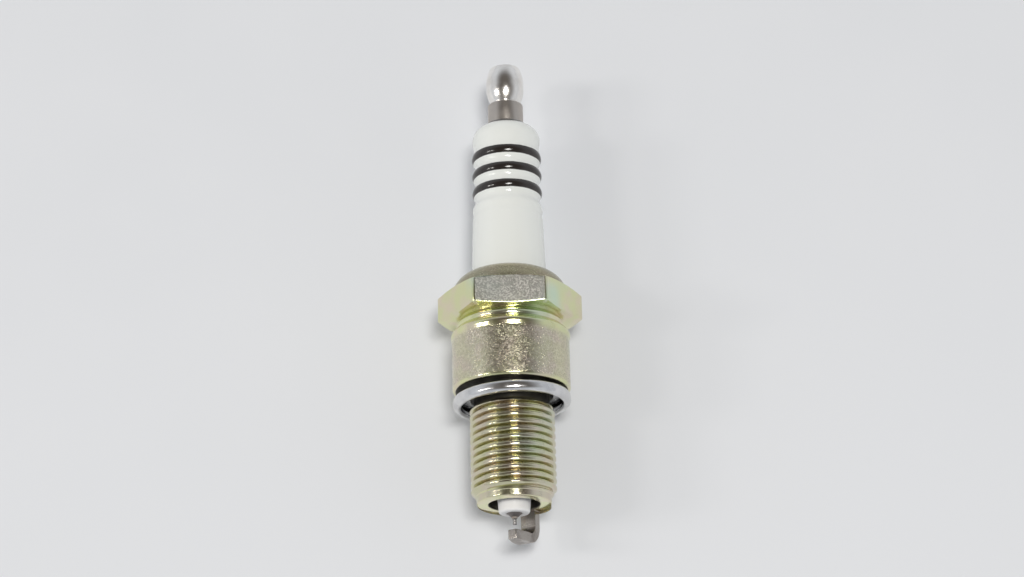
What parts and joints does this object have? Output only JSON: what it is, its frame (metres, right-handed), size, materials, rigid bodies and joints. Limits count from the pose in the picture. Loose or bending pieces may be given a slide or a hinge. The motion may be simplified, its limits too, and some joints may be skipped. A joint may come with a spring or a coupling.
{
  "type": "spark plug",
  "caption": "Resistor spark plug with a hexagon shell, screw thread, crush gasket, ribbed ceramic insulator, removable terminal nut, fine-wire centre electrode and ground strap.",
  "frame": {"origin": "on the plug's axis, in the plane of the shell's gasket seat", "axes": "+Y along the axis towards the terminal, -Y towards the firing end, +Z normal to the upper hexagon flat, so the plug lies on the opposite flat"},
  "size_m": [0.0238, 0.0826, 0.0208],
  "materials": {
    "zinc_plate": "zinc plate with a pale iridescent passivate, satin on the flats and bright in the thread",
    "glazed_insulator": "white alumina, clear glaze, three dark painted bands on the ribs",
    "nickel_terminal": "bright nickel plate",
    "stud_steel": "nickel-plated steel, dulled",
    "gasket_steel": "bright blue-white zinc plate on thin rolled sheet",
    "strap_nickel": "drawn nickel alloy, dull grey with a faint heat tint",
    "electrode_nickel": "nickel alloy, dull",
    "fine_wire": "hard precious-metal wire",
    "weld": "laser or resistance weld, brown heat tint",
    "copper": "soft copper",
    "seal_glass": "copper-filled conductive glass, opaque",
    "resistor_body": "carbon-filled ceramic",
    "packing_steel": "soft steel packing",
    "talc": "pressed powder"
  },
  "bodies": {
    "plug": {"metal_shell": "zinc_plate", "insulator": "glazed_insulator", "terminal_stud": "stud_steel", "upper_glass_seal": "seal_glass", "resistor": "resistor_body", "lower_glass_seal": "seal_glass", "centre_electrode": "electrode_nickel", "electrode_core": "copper", "electrode_tip": "fine_wire", "tip_weld": "weld", "seat_packing": "packing_steel", "lower_wire_ring": "packing_steel", "talc_fill": "talc", "upper_wire_ring": "packing_steel", "ground_electrode": "strap_nickel", "strap_weld": "weld"},
    "nut": {"terminal_nut": "nickel_terminal"},
    "washer": {"gasket": "gasket_steel"}
  },
  "joints": [
    {"name": "terminal_nut_unscrew", "type": "slide", "parent": "plug", "child": "nut", "axis": [0, 1, 0], "range_m": [0, 0.0095]},
    {"name": "gasket_float", "type": "slide", "parent": "plug", "child": "washer", "axis": [0, 1, 0], "range_m": [-0.0018, 0.0003]}
  ]
}
